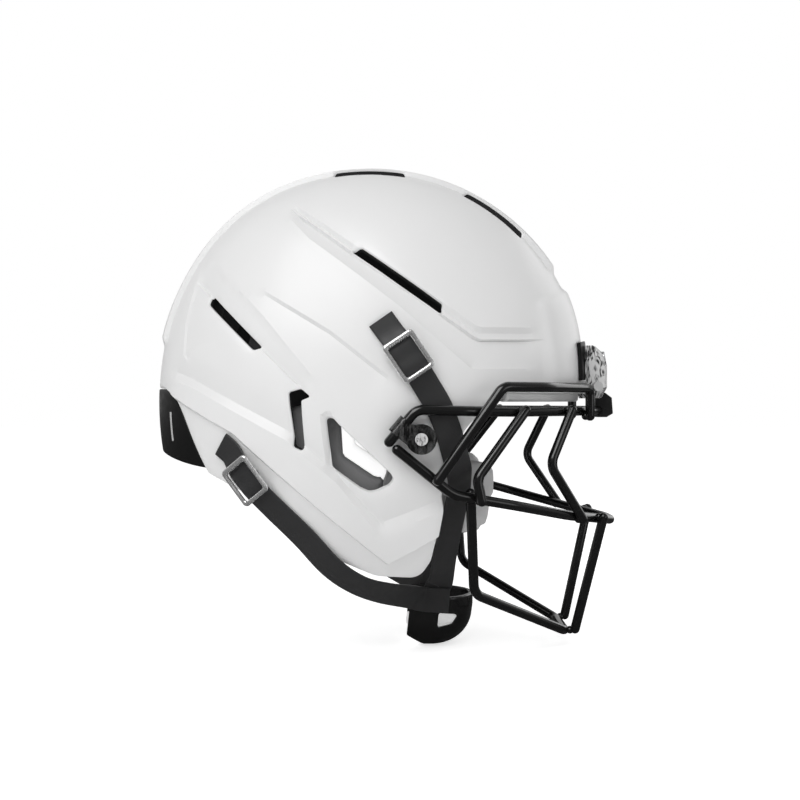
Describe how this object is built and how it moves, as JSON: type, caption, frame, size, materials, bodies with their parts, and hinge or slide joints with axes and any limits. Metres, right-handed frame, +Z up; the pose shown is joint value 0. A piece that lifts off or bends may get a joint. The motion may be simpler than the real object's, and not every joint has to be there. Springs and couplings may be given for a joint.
{
  "type": "football helmet",
  "caption": "Hard-shell football helmet with ear holes, vent slots, padded liner, wire face guard on brow clips, and a chin cup on webbing straps with metal buckles.",
  "frame": {"origin": "head reference point: on the middle plane, level with the ear openings and midway between them", "axes": "+X straight forward out of the face opening, +Y to the wearer's left, +Z up"},
  "size_m": [0.3197, 0.2498, 0.331],
  "materials": {
    "shell_white": "satin-gloss moulded polymer",
    "black_plastic": "fine-grained black moulding",
    "dark_plastic": "dark grey moulding",
    "liner_fabric": "dark wicking fabric over foam",
    "ear_foam": "dark grey foam facing",
    "jaw_vinyl": "mid grey coated fabric over foam",
    "clear_clip": "clear polycarbonate",
    "smoky_clip": "smoke-tinted polycarbonate",
    "steel": "plated steel",
    "bright_steel": "bright satin steel",
    "webbing": "ribbed black webbing",
    "cup_plastic": "black satin moulding",
    "cup_foam": "soft black foam",
    "coated_wire": "glossy black coating on steel wire",
    "black_rubber": "black rubber"
  },
  "bodies": {
    "shell": {"shell": "shell_white", "rear_bumper": "black_plastic", "front_bumper": "black_plastic", "front_pad": "liner_fabric", "crown_pad": "liner_fabric", "rear_pad": "liner_fabric", "side_pad_right": "liner_fabric", "side_pad_left": "liner_fabric", "ear_pad_right": "ear_foam", "ear_pad_left": "ear_foam", "jaw_pad_right": "jaw_vinyl", "jaw_pad_left": "jaw_vinyl", "front_clip_right": "clear_clip", "front_clip_left": "clear_clip", "clip_screws": "steel", "clip_nuts": "steel", "side_sockets": "dark_plastic", "snap_studs": "steel", "snap_caps": "black_plastic", "buckle_upper_right": "bright_steel", "buckle_upper_left": "bright_steel", "buckle_lower_right": "bright_steel", "buckle_lower_left": "bright_steel", "strap_upper_right": "webbing", "strap_upper_left": "webbing", "strap_lower_right": "webbing", "strap_lower_left": "webbing"},
    "guard": {"brow_bar": "coated_wire", "brow_wire_right": "coated_wire", "brow_wire_left": "coated_wire", "eye_wire": "coated_wire", "ring_wire": "coated_wire", "chevron_wire_right": "coated_wire", "chevron_wire_left": "coated_wire", "cheek_wire_right": "coated_wire", "cheek_wire_left": "coated_wire", "jaw_wire": "coated_wire", "mouth_wire_right": "coated_wire", "mouth_wire_left": "coated_wire", "bar_bumper": "black_rubber", "side_clip_right": "smoky_clip", "side_clip_left": "smoky_clip"},
    "button_right": {"release_button_right": "bright_steel"},
    "button_left": {"release_button_left": "bright_steel"},
    "cup": {"chin_cup": "cup_plastic", "chin_cup_pad": "cup_foam"}
  },
  "joints": [
    {"name": "guard_hinge", "type": "hinge", "parent": "shell", "child": "guard", "pos_m": [0.169, 0, 0.0376], "axis": [0, -1, 0], "range_deg": [0, 70]},
    {"name": "button_right_press", "type": "slide", "parent": "guard", "child": "button_right", "axis": [0, 1, 0], "range_m": [0, 0.0025], "stiffness_N_per_m": 600, "springref_m": -0.001},
    {"name": "button_left_press", "type": "slide", "parent": "guard", "child": "button_left", "axis": [0, -1, 0], "range_m": [0, 0.0025], "stiffness_N_per_m": 600, "springref_m": -0.001},
    {"name": "cup_tilt", "type": "hinge", "parent": "shell", "child": "cup", "pos_m": [0.057, 0, -0.112], "axis": [0, 1, 0], "range_deg": [-6, 6]}
  ]
}
